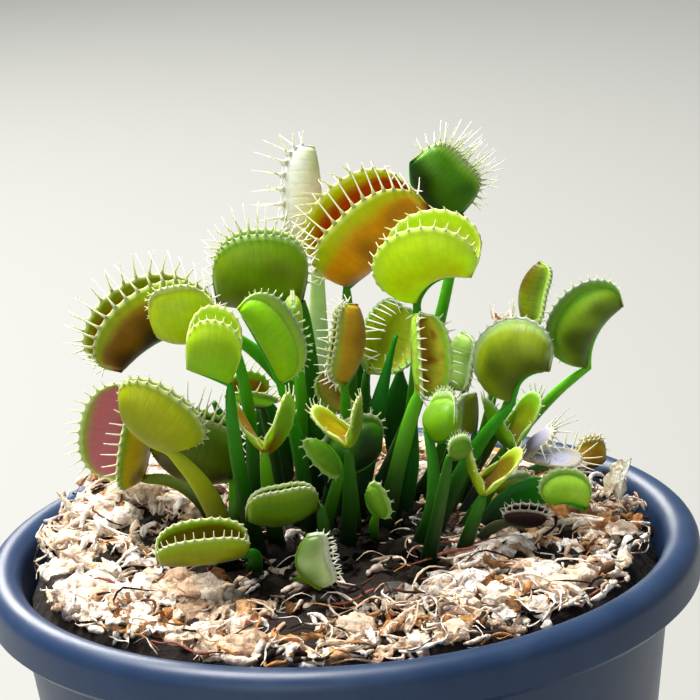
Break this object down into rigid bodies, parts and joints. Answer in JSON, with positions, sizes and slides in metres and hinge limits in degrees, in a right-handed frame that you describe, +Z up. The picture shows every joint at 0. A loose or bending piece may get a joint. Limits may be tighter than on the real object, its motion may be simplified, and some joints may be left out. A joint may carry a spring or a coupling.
{
  "type": "potted venus flytrap",
  "caption": "Potted carnivorous plant: flat stalks with toothed two-lobed traps rising from sphagnum moss in a round tapered pot with a rolled lip.",
  "frame": {"origin": "middle of the pot's underside, on the surface that the pot stands on", "axes": "+Z up along the pot's axis; the plant's front faces -Y, and +X is to the right seen from the front"},
  "size_m": [0.158, 0.158, 0.2009],
  "materials": {
    "pot_plastic": "satin dark blue moulded plastic",
    "moss": "long-fibred dried sphagnum, pale cream to brown",
    "leaf_orange": "waxy leaf, orange-brown with a green margin",
    "leaf_lime": "waxy leaf, bright lime green",
    "leaf_green": "waxy leaf, fresh green",
    "leaf_dark": "waxy leaf, dark green",
    "leaf_olive": "waxy leaf, olive with a brown tint",
    "leaf_pale": "waxy leaf, whitish green",
    "leaf_pink": "waxy leaf with a pink to deep red inner face",
    "leaf_grey": "dry dead leaf, grey",
    "leaf_black": "dry dead leaf, nearly black"
  },
  "bodies": {
    "root": {"pot": "pot_plastic", "moss": "moss", "leaf_01": "leaf_orange", "leaf_02": "leaf_lime", "leaf_03": "leaf_dark", "leaf_04": "leaf_lime", "leaf_05": "leaf_green", "leaf_06": "leaf_pale", "leaf_07": "leaf_pink", "leaf_08": "leaf_olive", "leaf_09": "leaf_dark", "leaf_10": "leaf_green", "leaf_11": "leaf_olive", "leaf_12": "leaf_orange", "leaf_13": "leaf_dark", "leaf_14": "leaf_pale", "leaf_15": "leaf_lime", "leaf_16": "leaf_orange", "leaf_17": "leaf_green", "leaf_18": "leaf_lime", "leaf_19": "leaf_green", "leaf_20": "leaf_olive", "leaf_21": "leaf_olive", "leaf_22": "leaf_green", "leaf_23": "leaf_green", "leaf_24": "leaf_green", "leaf_25": "leaf_olive", "leaf_26": "leaf_green", "leaf_27": "leaf_grey", "leaf_28": "leaf_orange", "leaf_29": "leaf_lime", "leaf_30": "leaf_black", "leaf_31": "leaf_olive", "leaf_32": "leaf_olive", "leaf_33": "leaf_orange", "leaf_34": "leaf_green", "leaf_35": "leaf_dark", "leaf_36": "leaf_olive", "leaf_37": "leaf_green", "leaf_38": "leaf_pale", "leaf_39": "leaf_pink", "leaf_40": "leaf_green", "leaf_41": "leaf_pink", "blade_01": "leaf_dark", "blade_02": "leaf_dark", "blade_03": "leaf_dark", "blade_04": "leaf_dark", "blade_05": "leaf_dark", "blade_06": "leaf_dark", "blade_07": "leaf_dark"}
  },
  "joints": []
}
